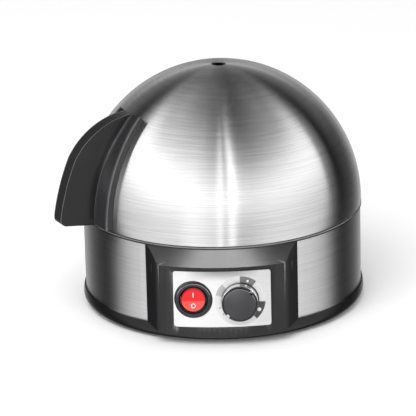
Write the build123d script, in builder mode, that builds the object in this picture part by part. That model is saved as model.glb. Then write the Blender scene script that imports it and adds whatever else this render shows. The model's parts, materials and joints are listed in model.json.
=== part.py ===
"""Electric egg cooker: a lift-off steel dome on a round base with a control panel at the front.

Millimetres, +Z up. The origin is on the axis of the base, in the plane that the feet stand on.
The control panel faces -Y.
"""
import os
from math import asin, cos, degrees, radians, sin, sqrt, tan

from build123d import *

os.makedirs("parts", exist_ok=True)

# Heights, from the table up
foot_height = 2.0
skirt_height = 8.5
band_height = 50.7
ring_lip_height = 1.4
lid_groove_height = 0.7
rim_straight = 2.2

# Dome lid
dome_radius = 89.5
lid_wall = 0.8
steam_hole_radius = 4.45

# Lid handle, its sizes outside the dome as stand-offs and elevations seen from the dome's centre
handle_azimuth = 209.0
handle_top_elevation = 46.3
foot_half_angle = 11.8
foot_rim_angle = 2.0
foot_thickness = 4.6
foot_valley = 1.2
valley_overrun = 5.0
fin_thickness = 10.0
fin_root_step = 0.6
fin_reach = 27.4
fin_crown_middle = (19.6, 32.5)
fin_crown_end = (24.7, 22.8)
fin_flank_middle = (25.9, 12.7)
fin_toe_elevation = 4.2
fin_toe_rise = 3.2
fin_corner_radius = 4.0
handle_screw_elevations = (13.0, 32.0)
handle_screw_radius = 2.0
handle_screw_length = 13.0
handle_screw_head_radius = 3.8
handle_screw_head_height = 2.2
washer_radius = 4.5
washer_thickness = 0.8

# Base shells
band_setback = 0.5
band_thickness = 0.6
housing_wall = 2.5
window_margin = 3.0
window_edge = 1.0
ring_overhang = 0.7
ring_round = 0.5
lid_groove_depth = 0.6
upstand_height = 3.0
upstand_wall = 2.8
upstand_round = 0.8
skirt_bulge = 1.5
skirt_foot_inset = 0.3
belly_height = 4.0
tray_floor = 2.5
tray_lip_height = 1.5
tray_lip_width = 0.95
tray_rim_height = 7.0
tray_rim_wall = 2.0
tray_groove_inset = 0.6
tray_groove_roof = 1.5
vent_length = 18.0
vent_width = 3.0
vent_pitch = 8.0
vents_per_row = 5

# Heating plate
plate_sheet = 1.2
plate_flange_width = 7.8
bowl_flare = 17.0
bowl_depth = 13.2
bowl_bend_radius = 1.0
gasket_thickness = 1.0
gasket_inset = 0.5
seat_width = 5.3
seat_thickness = 2.0
element_ring_radius = 42.0
element_tube_radius = 3.5
element_gap_angle = 50.0
element_leg = 9.0
element_bend = 7.0
tab_length = 10.0
tab_width = 6.3
tab_thickness = 0.8

# Egg rack
rack_inset = 2.5
rack_deck = 2.0
rack_rise = 2.8
rack_skirt_wall = 2.0
rack_round = 0.8
egg_hole_radius = 20.0
egg_edge_width = 10.3
outer_egg_holes = 6
egg_collar_wall = 1.8
egg_collar_height = 2.5
inner_steam_radius = 3.0
grip_azimuths = (90.0, 270.0)
grip_inset = 11.3
grip_width = 26.0
grip_height = 20.0
grip_thickness = 2.4
grip_sink = 0.5
grip_slot_width = 16.0
grip_slot_height = 10.0
grip_slot_corner = 4.0

# Plate fixing, cut-out and fuse
stud_radius = 2.5
stud_end = 4.0
spacer_length = 7.0
spacer_wall = 2.0
nut_half_width = 4.0
upper_nut_height = 3.6
lower_nut_height = 4.0
bridge_thickness = 1.5
bridge_width = 16.0
bridge_edge_gap = 1.2
bridge_ramp = 8.0
cutout_offset = 22.0
cutout_radius = 8.0
cutout_blade_size = (4.8, 5.0, 0.8)
cutout_blade_rise = 2.0
clip_thickness = 0.8
clip_side_margin = 3.0
clip_end_margin = 3.5
fuse_radius = 2.2
fuse_length = 16.0
fuse_round = 0.6
fuse_x = -20.0
fuse_clip_sheet = 0.6
fuse_clip_width = 6.0
fuse_clip_foot = 3.5

# Control panel
panel_stand = 4.3
panel_lean = 4.5
panel_bend_radius = 120.0
panel_half_width = 40.0
panel_side_width = 7.0
panel_side_run = 0.8
panel_wall = 2.5
panel_corner_radius = 6.0
strip_height = 10.8
chin_drop = 3.7
chin_rise = 4.6
chin_run = 8.0
plate_width = 60.5
plate_height = 35.6
plate_corner_radius = 1.5
plate_thickness = 0.6
plate_lift = 1.6
recess_gap = 0.4
hook_pitch = 24.0
hook_span = 8.0
hook_thickness = 2.2
hook_root_sink = 3.0
hook_play = 0.8
hook_catch = 1.6
hook_nose = 0.9
hook_slope = 2.5

# Switch
switch_place = (-17.8, 0.0)
switch_pad_depth = 8.0
switch_body_radius = 9.9
switch_body_depth = 15.0
bezel_radius = 11.5
bezel_opening_radius = 8.2
bezel_height = 2.0
bezel_round = 1.2
bezel_seat_depth = 0.9
dish_width = 0.9
dish_depth = 1.4
dish_taper = 30.0
well_depth = 10.0
pivot_depth = 2.5
pivot_pad_width = 4.4
pivot_pad_reach = 1.7
pivot_pad_sink = 0.3
pin_end_wall = 0.5
pin_end_play = 0.2
rocker_radius = 7.4
rocker_tilt = 10.0
rocker_face = 2.6
rocker_rise = 1.3
rocker_skirt = 0.5
rocker_core = 7.0
rocker_core_depth = 5.0
rocker_pin_radius = 1.0
blade_width = 4.8
blade_thickness = 0.8
blade_length = 8.0
blade_pitch = 5.5
blade_count = 3

# Dial
dial_place = (11.0, -0.8)
knob_radius = 11.3
knob_height = 9.0
knob_back = 0.5
knob_sleeve_wall = 0.8
knob_skirt_height = 1.5
knob_skirt_lip = 0.2
knob_round = 1.0
knob_cap_wall = 3.0
sleeve_setback = 0.9
sleeve_round = 0.5
pointer_angle = 45.0
notch_width = 2.2
notch_depth = 4.0
notch_length = 3.0
notch_inset = 0.9
spindle_radius = 3.0
spindle_hole_gap = 1.1
can_radius = 8.5
can_depth = 8.0
can_wall = 1.0
control_bush_wall = 0.9
control_bush_depth = 4.0
wiper_radius = 5.0
wiper_thickness = 1.2
wiper_gap = 0.3

# Control board
board_depth = 14.5
board_thickness = 1.6
board_width = 40.0
board_height = 34.0
post_radius = 2.5
post_sink = 1.5
post_left = -1.0
post_right = 33.0
post_low = -12.5
post_high = 15.0
board_screw_radius = 1.2
board_screw_length = 7.0
board_screw_tip_room = 0.6
board_screw_head_radius = 2.3
board_screw_head_height = 1.8
relay_place = (9.0, 2.0)
relay_size = (15.0, 19.0, 15.0)
capacitor_place = (24.0, 6.0)
capacitor_size = (6.0, 13.0, 11.0)
buzzer_place = (25.0, -9.0)
buzzer_radius = 6.0
buzzer_hole_radius = 1.0
buzzer_height = 7.0

# Terminal block
terminal_place = 50.0
terminal_pitch = 9.0
terminal_ways = 3
terminal_margin = 1.5
terminal_depth = 15.0
terminal_height = 13.0
wire_hole_radius = 1.8
wire_hole_height = 5.2
well_hole_radius = 2.0
well_hole_pitch = 7.0
well_hole_depth = 5.2

# Feet, tray screws and the cord's bush
foot_radius = 6.5
foot_inset = 17.5
foot_count = 4
foot_recess = 1.0
foot_chamfer = 0.6
foot_stem_radius = 3.0
foot_swell = 1.0
foot_swell_height = 1.5
boss_radius = 4.0
boss_stand = 4.5
boss_rise = 3.0
boss_top_gap = 1.0
rib_width = 3.0
rib_sink = 0.5
tray_screw_azimuths = (50.0, 130.0, 230.0, 310.0)
tray_screw_radius = 1.75
tray_screw_length = 20.0
tray_screw_tip_room = 2.0
screw_seat_height = 4.0
screw_head_radius = 3.2
screw_head_height = 2.4
cord_bore_radius = 3.5
cord_height = 20.0
cord_hole_overrun = 3.0
bush_sleeve_wall = 2.5
bush_flange_width = 2.5
bush_flange_inside = 1.2
bush_flange_outside = 2.0

# Clearances
sheet_gap = 0.2
fit_gap = 0.1
running_gap = 0.05
contact_gap = 0.02
lid_play = 0.6
plate_play = 0.5
rocker_play = 0.3

# Levels and radii that follow from the sizes above
tray_bottom = foot_height
floor_top = tray_bottom + tray_floor
skirt_top = tray_bottom + skirt_height
band_bottom = skirt_top - tray_lip_height
band_top = skirt_top + band_height
lip_top = band_top + ring_lip_height
lid_seat = lip_top + lid_groove_height
dome_centre = lid_seat + rim_straight
dome_inner_radius = dome_radius - lid_wall
band_outer_radius = dome_radius - band_setback
band_inner_radius = band_outer_radius - band_thickness
housing_radius = band_inner_radius - sheet_gap
housing_inner_radius = housing_radius - housing_wall
ring_radius = band_outer_radius + ring_overhang
skirt_radius = band_outer_radius + skirt_bulge
rim_outer_radius = housing_inner_radius - sheet_gap
upstand_radius = dome_inner_radius - lid_play
upstand_top = lid_seat + upstand_height
pocket_radius = upstand_radius - upstand_wall
plate_flange_radius = pocket_radius - plate_play
plate_flange_top = lid_seat - fit_gap
plate_flange_bottom = plate_flange_top - plate_sheet
seat_top = plate_flange_bottom - gasket_thickness
seat_bottom = seat_top - seat_thickness
bowl_top_radius = plate_flange_radius - plate_flange_width
bowl_floor_radius = bowl_top_radius - bowl_flare
bowl_floor_top = plate_flange_top - bowl_depth
bowl_underside = bowl_floor_top - plate_sheet
rack_radius = plate_flange_radius - rack_inset
rack_deck_bottom = plate_flange_top + rack_rise
rack_deck_top = rack_deck_bottom + rack_deck
egg_pitch_radius = rack_radius - egg_edge_width - egg_hole_radius
grip_radius = rack_radius - grip_inset
screw_pitch_radius = housing_inner_radius - boss_stand
screw_seat = tray_bottom + screw_seat_height
boss_bottom = band_bottom + boss_rise
boss_top = bowl_underside - boss_top_gap
foot_pitch_radius = rim_outer_radius - foot_inset
cord_hole_radius = cord_bore_radius + bush_sleeve_wall
cord_hole_start = housing_inner_radius - cord_hole_overrun
cord_hole_length = band_outer_radius + cord_hole_overrun - cord_hole_start
panel_reach = band_outer_radius + panel_stand
panel_root_half_width = panel_half_width + panel_side_width
panel_bottom = skirt_top - chin_drop
strip_bottom = band_top - strip_height
plate_centre_height = (panel_bottom + strip_bottom) / 2 + plate_lift
window_half_width = panel_root_half_width - window_margin
spindle_hole_radius = spindle_radius + spindle_hole_gap
knob_front = knob_back + knob_height
spindle_tip = knob_front - knob_cap_wall
panel_cut_reach = 20.0
beyond = 2 * dome_radius


def radial_plane(azimuth):
    """Upright plane through the main axis: local x points outwards, local y points up."""
    outwards = Vector(cos(radians(azimuth)), sin(radians(azimuth)), 0)
    return Plane(origin=(0, 0, 0), x_dir=outwards, z_dir=outwards.cross(Vector(0, 0, 1)))


def off_dome(stand_off, elevation):
    """Point of a radial plane at a distance outside the dome, at an elevation seen from its centre."""
    reach = dome_radius + stand_off
    return (reach * cos(radians(elevation)), dome_centre + reach * sin(radians(elevation)))


def dome_normal_plane(azimuth, elevation, radius):
    """Plane square to the dome's radius, at a distance from the dome's centre, facing outwards."""
    level = cos(radians(elevation))
    out = Vector(level * cos(radians(azimuth)), level * sin(radians(azimuth)), sin(radians(elevation)))
    side = Vector(-sin(radians(azimuth)), cos(radians(azimuth)), 0)
    return Plane(origin=Vector(0, 0, dome_centre) + out * radius, x_dir=side, z_dir=out)


def save(piece, name):
    """Label one finished piece and write it to its own file."""
    piece.label = name
    export_step(piece, f"parts/{name}.step")


# Dome lid: a drawn hemisphere with a short straight rim, which stands on the ring's inner step
with BuildPart() as lid_dome:
    with BuildSketch(Plane.XZ):
        with BuildLine():
            CenterArc((0, dome_centre), dome_radius, 0, 90)
            Line((0, dome_centre + dome_radius), (0, dome_centre + dome_inner_radius))
            CenterArc((0, dome_centre), dome_inner_radius, 0, 90)
            Polyline(
                (dome_inner_radius, dome_centre),
                (dome_inner_radius, lid_seat),
                (dome_radius, lid_seat),
                (dome_radius, dome_centre),
            )
        make_face()
    revolve(axis=Axis.Z)
    with BuildSketch(Plane.XY.offset(dome_centre)):
        Circle(steam_hole_radius)
    extrude(amount=dome_radius + lid_wall, mode=Mode.SUBTRACT)
    for elevation in handle_screw_elevations:
        with BuildSketch(dome_normal_plane(handle_azimuth, elevation, dome_inner_radius - lid_wall)):
            Circle(handle_screw_radius + sheet_gap)
        extrude(amount=3 * lid_wall, mode=Mode.SUBTRACT)
save(lid_dome.part, "lid_dome")

# Lid handle: a flat foot that follows the dome between two meridians, with a shallow valley on each
# side, and a fin that stands out of its middle
handle_inner = dome_radius + fit_gap
handle_outer = dome_radius + foot_thickness
fin_half_angle = degrees(asin(fin_thickness / 2 / handle_outer))
valley_outer_angle = foot_half_angle - foot_rim_angle
valley_sweep = handle_top_elevation + 2 * valley_overrun
with BuildPart() as lid_handle:
    with BuildSketch(radial_plane(handle_azimuth - foot_half_angle)):
        with BuildLine():
            CenterArc((0, dome_centre), handle_outer, 0, handle_top_elevation)
            Line(off_dome(foot_thickness, handle_top_elevation), off_dome(fit_gap, handle_top_elevation))
            CenterArc((0, dome_centre), handle_inner, 0, handle_top_elevation)
            Line((handle_inner, dome_centre), (handle_outer, dome_centre))
        make_face()
    revolve(axis=Axis.Z, revolution_arc=2 * foot_half_angle)
    for side_start in (fin_half_angle, -valley_outer_angle):
        with BuildSketch(radial_plane(handle_azimuth + side_start)):
            with BuildLine():
                valley_floor = CenterArc(
                    (0, dome_centre), handle_outer - foot_valley, -valley_overrun, valley_sweep
                )
                valley_cover = CenterArc(
                    (0, dome_centre), handle_outer + foot_valley, -valley_overrun, valley_sweep
                )
                Line(valley_floor @ 0, valley_cover @ 0)
                Line(valley_floor @ 1, valley_cover @ 1)
            make_face()
        revolve(axis=Axis.Z, revolution_arc=valley_outer_angle - fin_half_angle, mode=Mode.SUBTRACT)
    with BuildSketch(radial_plane(handle_azimuth)):
        with BuildLine():
            CenterArc((0, dome_centre), handle_outer, 0, handle_top_elevation)
            Line(off_dome(foot_thickness, handle_top_elevation), off_dome(fit_gap, handle_top_elevation))
            CenterArc((0, dome_centre), handle_inner, 0, handle_top_elevation)
            Line((handle_inner, dome_centre), (handle_outer, dome_centre))
        make_face()
    extrude(amount=fin_thickness / 2 + fin_root_step, both=True)
    with BuildSketch(radial_plane(handle_azimuth)) as fin_profile:
        with BuildLine():
            crown = ThreePointArc(
                off_dome(foot_thickness, handle_top_elevation),
                off_dome(*fin_crown_middle),
                off_dome(*fin_crown_end),
            )
            flank = ThreePointArc(
                crown @ 1, off_dome(*fin_flank_middle), off_dome(fin_reach, fin_toe_elevation)
            )
            toe = Line(flank @ 1, (dome_radius + fin_reach, dome_centre + fin_toe_rise))
            Line(toe @ 1, (handle_outer, dome_centre))
            Line((handle_outer, dome_centre), (handle_inner, dome_centre))
            CenterArc((0, dome_centre), handle_inner, 0, handle_top_elevation)
            Line(off_dome(fit_gap, handle_top_elevation), crown @ 0)
        make_face()
        toe_corner = fin_profile.vertices().sort_by_distance(toe @ 1)[0]
        fillet(toe_corner, fin_corner_radius)
    extrude(amount=fin_thickness / 2, both=True)
    for elevation in handle_screw_elevations:
        with BuildSketch(dome_normal_plane(handle_azimuth, elevation, dome_radius)):
            Circle(handle_screw_radius + running_gap)
        extrude(amount=handle_screw_length, mode=Mode.SUBTRACT)
save(lid_handle.part, "lid_handle")

# Handle screws and washers: pan heads inside the dome, clamping it against the foot
washer_seat = sqrt(dome_inner_radius**2 - washer_radius**2) - contact_gap
with BuildPart() as handle_washers:
    for elevation in handle_screw_elevations:
        with BuildSketch(dome_normal_plane(handle_azimuth, elevation, washer_seat - washer_thickness)):
            Circle(washer_radius)
            Circle(handle_screw_radius + sheet_gap, mode=Mode.SUBTRACT)
        extrude(amount=washer_thickness)
save(handle_washers.part, "handle_washers")

with BuildPart() as handle_screws:
    for elevation in handle_screw_elevations:
        with BuildSketch(dome_normal_plane(handle_azimuth, elevation, washer_seat - washer_thickness)):
            Circle(handle_screw_head_radius)
        extrude(amount=-handle_screw_head_height)
        with BuildSketch(dome_normal_plane(handle_azimuth, elevation, washer_seat - washer_thickness)):
            Circle(handle_screw_radius)
        extrude(amount=handle_screw_length)
save(handle_screws.part, "handle_screws")

# Egg rack: a deck with seven collared egg holes, steam holes, a skirt that stands on the plate's
# flange and two grips with finger slots
half_pitch_angle = 180 / outer_egg_holes
grip_shoulder = grip_height - grip_width / 4
with BuildPart() as egg_rack:
    with BuildSketch(Plane.XY.offset(plate_flange_top)):
        Circle(rack_radius)
    extrude(amount=rack_rise + rack_deck)
    with BuildSketch(Plane.XY.offset(plate_flange_top)):
        Circle(rack_radius - rack_skirt_wall)
    extrude(amount=rack_rise, mode=Mode.SUBTRACT)
    fillet(egg_rack.faces().sort_by(Axis.Z)[-1].outer_wire().edges(), rack_round)
    with BuildSketch(Plane.XY.offset(rack_deck_top)):
        Circle(egg_hole_radius + egg_collar_wall)
        with PolarLocations(egg_pitch_radius, outer_egg_holes):
            Circle(egg_hole_radius + egg_collar_wall)
    extrude(amount=egg_collar_height)
    with BuildSketch(Plane.XY.offset(rack_deck_bottom)):
        Circle(egg_hole_radius)
        with PolarLocations(egg_pitch_radius, outer_egg_holes):
            Circle(egg_hole_radius)
        with PolarLocations(egg_pitch_radius / sqrt(3), outer_egg_holes, start_angle=half_pitch_angle):
            Circle(inner_steam_radius)
    extrude(amount=rack_deck + egg_collar_height, mode=Mode.SUBTRACT)
    for azimuth in grip_azimuths:
        outwards = Vector(cos(radians(azimuth)), sin(radians(azimuth)), 0)
        grip_plane = Plane(
            origin=outwards * grip_radius + Vector(0, 0, rack_deck_top),
            x_dir=outwards.cross(Vector(0, 0, 1)),
            z_dir=-outwards,
        )
        with BuildSketch(grip_plane):
            with BuildLine():
                left_edge = Line((-grip_width / 2, -grip_sink), (-grip_width / 2, grip_shoulder))
                crest = ThreePointArc(left_edge @ 1, (0, grip_height), (grip_width / 2, grip_shoulder))
                Polyline(crest @ 1, (grip_width / 2, -grip_sink), left_edge @ 0)
            make_face()
            with Locations((0, grip_height / 2)):
                RectangleRounded(
                    grip_slot_width, grip_slot_height, grip_slot_corner, mode=Mode.SUBTRACT
                )
        extrude(amount=-grip_thickness)
save(egg_rack.part, "egg_rack")

# Housing: a moulded tube with the top ring, the upstand that centres the lid, the pocket and seat of
# the heating plate, the window for the control panel and the screw bosses
rib_length = boss_stand + rib_sink
screw_hole_depth = screw_seat + tray_screw_length + tray_screw_tip_room - boss_bottom
with BuildPart() as base_housing:
    with BuildSketch(Plane.XZ):
        with BuildLine():
            Polyline(
                (housing_inner_radius, band_bottom),
                (housing_radius, band_bottom),
                (housing_radius, band_top),
                (ring_radius, band_top),
                (ring_radius, lip_top),
                (ring_radius - lid_groove_depth, lip_top),
                (ring_radius - lid_groove_depth, lid_seat),
                (upstand_radius, lid_seat),
                (upstand_radius, upstand_top),
                (pocket_radius, upstand_top),
                (pocket_radius, seat_top),
                (pocket_radius - seat_width, seat_top),
                (pocket_radius - seat_width, seat_bottom),
                (housing_inner_radius, seat_bottom),
                close=True,
            )
        make_face()
    revolve(axis=Axis.Z)
    ring_edges = base_housing.edges().filter_by(GeomType.CIRCLE)
    fillet(ring_edges.filter_by(lambda e: e.radius > ring_radius - running_gap), ring_round)
    upstand_edges = base_housing.edges().filter_by(GeomType.CIRCLE).group_by(Axis.Z)[-1]
    fillet(upstand_edges, upstand_round)
    with Locations((0, -band_outer_radius, (band_bottom + seat_bottom) / 2)):
        Box(
            2 * window_half_width,
            band_outer_radius,
            seat_bottom - band_bottom - 2 * window_edge,
            mode=Mode.SUBTRACT,
        )
    with BuildSketch(Plane.XY.offset(boss_bottom)):
        for azimuth in tray_screw_azimuths:
            with Locations(Rot(0, 0, azimuth) * Pos(screw_pitch_radius, 0)):
                Circle(boss_radius)
            with Locations(Rot(0, 0, azimuth) * Pos(screw_pitch_radius + rib_length / 2, 0)):
                Rectangle(rib_length, rib_width)
    extrude(amount=boss_top - boss_bottom)
    with BuildSketch(Plane.XY.offset(boss_bottom)):
        for azimuth in tray_screw_azimuths:
            with Locations(Rot(0, 0, azimuth) * Pos(screw_pitch_radius, 0)):
                Circle(tray_screw_radius + running_gap)
    extrude(amount=screw_hole_depth, mode=Mode.SUBTRACT)
    with BuildSketch(Plane.XZ.offset(-cord_hole_start)):
        with Locations((0, cord_height)):
            Circle(cord_hole_radius + fit_gap)
    extrude(amount=-cord_hole_length, mode=Mode.SUBTRACT)
save(base_housing.part, "base_housing")

# Steel band: a strip rolled round the housing, open at the control panel, with the cord's hole
band_opening = 2 * (panel_root_half_width + sheet_gap)
with BuildPart() as steel_band:
    with BuildSketch(Plane.XY.offset(band_bottom)):
        Circle(band_outer_radius)
        Circle(band_inner_radius, mode=Mode.SUBTRACT)
        with Locations((0, -band_outer_radius)):
            Rectangle(band_opening, band_outer_radius, mode=Mode.SUBTRACT)
    extrude(amount=band_top - fit_gap - band_bottom)
    with BuildSketch(Plane.XZ.offset(-cord_hole_start)):
        with Locations((0, cord_height)):
            Circle(cord_hole_radius + fit_gap)
    extrude(amount=-cord_hole_length, mode=Mode.SUBTRACT)
save(steel_band.part, "steel_band")

# Bottom tray: the flared ring at the foot of the base, a floor with vents, a rim inside the housing,
# the screw sleeves and the recesses for the feet
belly_level = tray_bottom + belly_height
lip_inner_radius = band_outer_radius + sheet_gap
rim_top = floor_top + tray_rim_height
with BuildPart() as bottom_tray:
    with BuildSketch(Plane.XZ):
        with BuildLine():
            lower_curve = TangentArc(
                (skirt_radius, belly_level),
                (band_outer_radius - skirt_foot_inset, tray_bottom),
                tangent=(0, -1),
            )
            upper_curve = TangentArc(
                (skirt_radius, belly_level), (band_outer_radius + tray_lip_width, skirt_top), tangent=(0, 1)
            )
            Polyline(
                upper_curve @ 1,
                (lip_inner_radius, skirt_top),
                (lip_inner_radius, band_bottom),
                (rim_outer_radius, band_bottom),
                (rim_outer_radius, rim_top),
                (rim_outer_radius - tray_rim_wall, rim_top),
                (rim_outer_radius - tray_rim_wall, floor_top),
                (0, floor_top),
                (0, tray_bottom),
                lower_curve @ 1,
            )
        make_face()
    revolve(axis=Axis.Z)
    with BuildSketch(Plane.XY.offset(tray_bottom)):
        Circle(housing_radius - tray_groove_inset)
        Circle(rim_outer_radius + fit_gap, mode=Mode.SUBTRACT)
    extrude(amount=band_bottom - tray_groove_roof - tray_bottom, mode=Mode.SUBTRACT)
    with BuildSketch(Plane.XY.offset(floor_top)):
        for azimuth in tray_screw_azimuths:
            with Locations(Rot(0, 0, azimuth) * Pos(screw_pitch_radius, 0)):
                Circle(boss_radius)
    extrude(amount=boss_bottom - floor_top)
    with BuildSketch(Plane.XY.offset(tray_bottom)):
        for azimuth in tray_screw_azimuths:
            with Locations(Rot(0, 0, azimuth) * Pos(screw_pitch_radius, 0)):
                Circle(screw_head_radius + sheet_gap)
    extrude(amount=screw_seat - tray_bottom, mode=Mode.SUBTRACT)
    with BuildSketch(Plane.XY.offset(screw_seat)):
        for azimuth in tray_screw_azimuths:
            with Locations(Rot(0, 0, azimuth) * Pos(screw_pitch_radius, 0)):
                Circle(tray_screw_radius + sheet_gap)
    extrude(amount=boss_bottom - screw_seat, mode=Mode.SUBTRACT)
    with BuildSketch(Plane.XY.offset(tray_bottom)):
        with PolarLocations(foot_pitch_radius, foot_count, start_angle=45):
            Circle(foot_radius + sheet_gap)
    extrude(amount=foot_recess, mode=Mode.SUBTRACT)
    with BuildSketch(Plane.XY.offset(tray_bottom)):
        with PolarLocations(foot_pitch_radius, foot_count, start_angle=45):
            Circle(foot_stem_radius)
        with Locations((0, vent_length), (0, -vent_length)):
            with GridLocations(vent_pitch, 0, vents_per_row, 1):
                SlotOverall(vent_length, vent_width, rotation=90)
    extrude(amount=tray_floor, mode=Mode.SUBTRACT)
save(bottom_tray.part, "bottom_tray")

# Rubber feet: a turned pad with a stem pushed through the floor and a swelling above it
with BuildPart() as rubber_feet:
    with BuildSketch(Plane.XY):
        with PolarLocations(foot_pitch_radius, foot_count, start_angle=45):
            Circle(foot_radius)
    extrude(amount=tray_bottom + foot_recess)
    chamfer(rubber_feet.edges().group_by(Axis.Z)[0], foot_chamfer)
    with BuildSketch(Plane.XY.offset(tray_bottom + foot_recess)):
        with PolarLocations(foot_pitch_radius, foot_count, start_angle=45):
            Circle(foot_stem_radius - running_gap)
    extrude(amount=tray_floor - foot_recess)
    with BuildSketch(Plane.XY.offset(floor_top)):
        with PolarLocations(foot_pitch_radius, foot_count, start_angle=45):
            Circle(foot_stem_radius + foot_swell)
    extrude(amount=foot_swell_height)
save(rubber_feet.part, "rubber_feet")

# Tray screws: pan heads sunk in the tray, threaded into the housing's bosses
with BuildPart() as tray_screws:
    with BuildSketch(Plane.XY.offset(screw_seat - screw_head_height)):
        for azimuth in tray_screw_azimuths:
            with Locations(Rot(0, 0, azimuth) * Pos(screw_pitch_radius, 0)):
                Circle(screw_head_radius)
    extrude(amount=screw_head_height)
    with BuildSketch(Plane.XY.offset(screw_seat)):
        for azimuth in tray_screw_azimuths:
            with Locations(Rot(0, 0, azimuth) * Pos(screw_pitch_radius, 0)):
                Circle(tray_screw_radius)
    extrude(amount=tray_screw_length)
save(tray_screws.part, "tray_screws")

# Cord bush: a soft bush pressed into the back wall, its flanges seated inside and outside
bush_start = housing_inner_radius - bush_flange_inside
bush_length = band_outer_radius + bush_flange_outside - bush_start
with BuildPart() as cord_bush:
    with BuildSketch(Plane.XZ.offset(-bush_start)):
        with Locations((0, cord_height)):
            Circle(cord_hole_radius + bush_flange_width)
    extrude(amount=-bush_length)
    with BuildSketch(Plane.XY):
        Circle(band_outer_radius + running_gap)
        Circle(housing_inner_radius - running_gap, mode=Mode.SUBTRACT)
    extrude(amount=2 * cord_height, mode=Mode.SUBTRACT)
    with BuildSketch(Plane.XZ.offset(-bush_start)):
        with Locations((0, cord_height)):
            Circle(cord_hole_radius)
    extrude(amount=-bush_length)
    with BuildSketch(Plane.XZ.offset(-bush_start)):
        with Locations((0, cord_height)):
            Circle(cord_bore_radius)
    extrude(amount=-bush_length, mode=Mode.SUBTRACT)
save(cord_bush.part, "cord_bush")

# Heating plate: a drawn dish whose bowl holds the water, its flange on the gasket
with BuildPart() as heating_plate:
    with BuildSketch(Plane.XZ):
        with BuildLine():
            Polyline(
                (0, bowl_underside),
                (bowl_floor_radius, bowl_underside),
                (bowl_top_radius, plate_flange_bottom),
                (plate_flange_radius, plate_flange_bottom),
                (plate_flange_radius, plate_flange_top),
                (bowl_top_radius - plate_sheet / 2, plate_flange_top),
                (bowl_floor_radius - plate_sheet / 2, bowl_floor_top),
                (0, bowl_floor_top),
                close=True,
            )
        make_face()
    revolve(axis=Axis.Z)
    plate_edges = heating_plate.edges().filter_by(GeomType.CIRCLE)
    fillet(plate_edges.filter_by(lambda e: e.radius < bowl_top_radius + plate_sheet), bowl_bend_radius)
save(heating_plate.part, "heating_plate")

with BuildPart() as plate_gasket:
    with BuildSketch(Plane.XY.offset(seat_top)):
        Circle(plate_flange_radius)
        Circle(pocket_radius - seat_width + gasket_inset, mode=Mode.SUBTRACT)
    extrude(amount=gasket_thickness)
save(plate_gasket.part, "plate_gasket")

# Heating element: a tube bent into an open ring against the bowl's underside, its two ends turned down
element_level = bowl_underside - element_tube_radius - fit_gap
leg_start = 270 + element_gap_angle / 2
ring_start = Vector(cos(radians(leg_start)), sin(radians(leg_start)), 0) * element_ring_radius
ring_end = Vector(-ring_start.X, ring_start.Y, 0)
start_way = Vector(-sin(radians(leg_start)), cos(radians(leg_start)), 0)
end_way = Vector(-start_way.X, start_way.Y, 0)
level = Vector(0, 0, element_level)
down = Vector(0, 0, -1)
with BuildPart() as heating_element:
    with BuildLine() as element_path:
        first_leg = Line(
            level + ring_start - start_way * element_bend + down * (element_bend + element_leg),
            level + ring_start - start_way * element_bend + down * element_bend,
        )
        TangentArc(first_leg @ 1, level + ring_start, tangent=-down)
        ring = ThreePointArc(level + ring_start, level + Vector(0, element_ring_radius, 0), level + ring_end)
        last_leg_top = level + ring_end - end_way * element_bend + down * element_bend
        last_bend = TangentArc(ring @ 1, last_leg_top, tangent=ring % 1)
        Line(last_bend @ 1, (last_bend @ 1) + down * element_leg)
    with BuildSketch(Plane(origin=first_leg @ 0, z_dir=first_leg % 0)):
        Circle(element_tube_radius)
    sweep(path=element_path.line)
save(heating_element.part, "heating_element")

element_end = first_leg @ 0
with BuildPart() as element_tabs:
    for x_side in (1, -1):
        with Locations((x_side * element_end.X, element_end.Y, element_end.Z - tab_length / 2)):
            Box(tab_thickness, tab_width, tab_length)
save(element_tabs.part, "element_tabs")

# Plate fixing: a stud welded to the plate, a sleeve, the clip of the cut-out, and a bent strip that
# reaches under the housing's seat and pulls the plate down
clip_top = bowl_underside - spacer_length
upper_nut_top = clip_top - clip_thickness
bridge_top = upper_nut_top - upper_nut_height
lower_nut_top = bridge_top - bridge_thickness
lower_nut_bottom = lower_nut_top - lower_nut_height
bridge_reach = pocket_radius - bridge_edge_gap
bridge_mitre = bridge_thickness * tan(radians(22.5))
with BuildPart() as plate_stud:
    with BuildSketch(Plane.XY.offset(lower_nut_bottom - stud_end)):
        Circle(stud_radius)
    extrude(until=Until.NEXT, target=heating_plate.part)
save(plate_stud.part, "plate_stud")

with BuildPart() as stud_spacer:
    with BuildSketch(Plane.XY.offset(clip_top)):
        Circle(stud_radius + spacer_wall)
        Circle(stud_radius + fit_gap, mode=Mode.SUBTRACT)
    extrude(amount=spacer_length)
save(stud_spacer.part, "stud_spacer")

with BuildPart() as stud_nuts:
    for nut_bottom, nut_height in ((bridge_top, upper_nut_height), (lower_nut_bottom, lower_nut_height)):
        with BuildSketch(Plane.XY.offset(nut_bottom)):
            RegularPolygon(radius=nut_half_width, side_count=6, major_radius=False)
            Circle(stud_radius + running_gap, mode=Mode.SUBTRACT)
        extrude(amount=nut_height)
save(stud_nuts.part, "stud_nuts")

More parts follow.
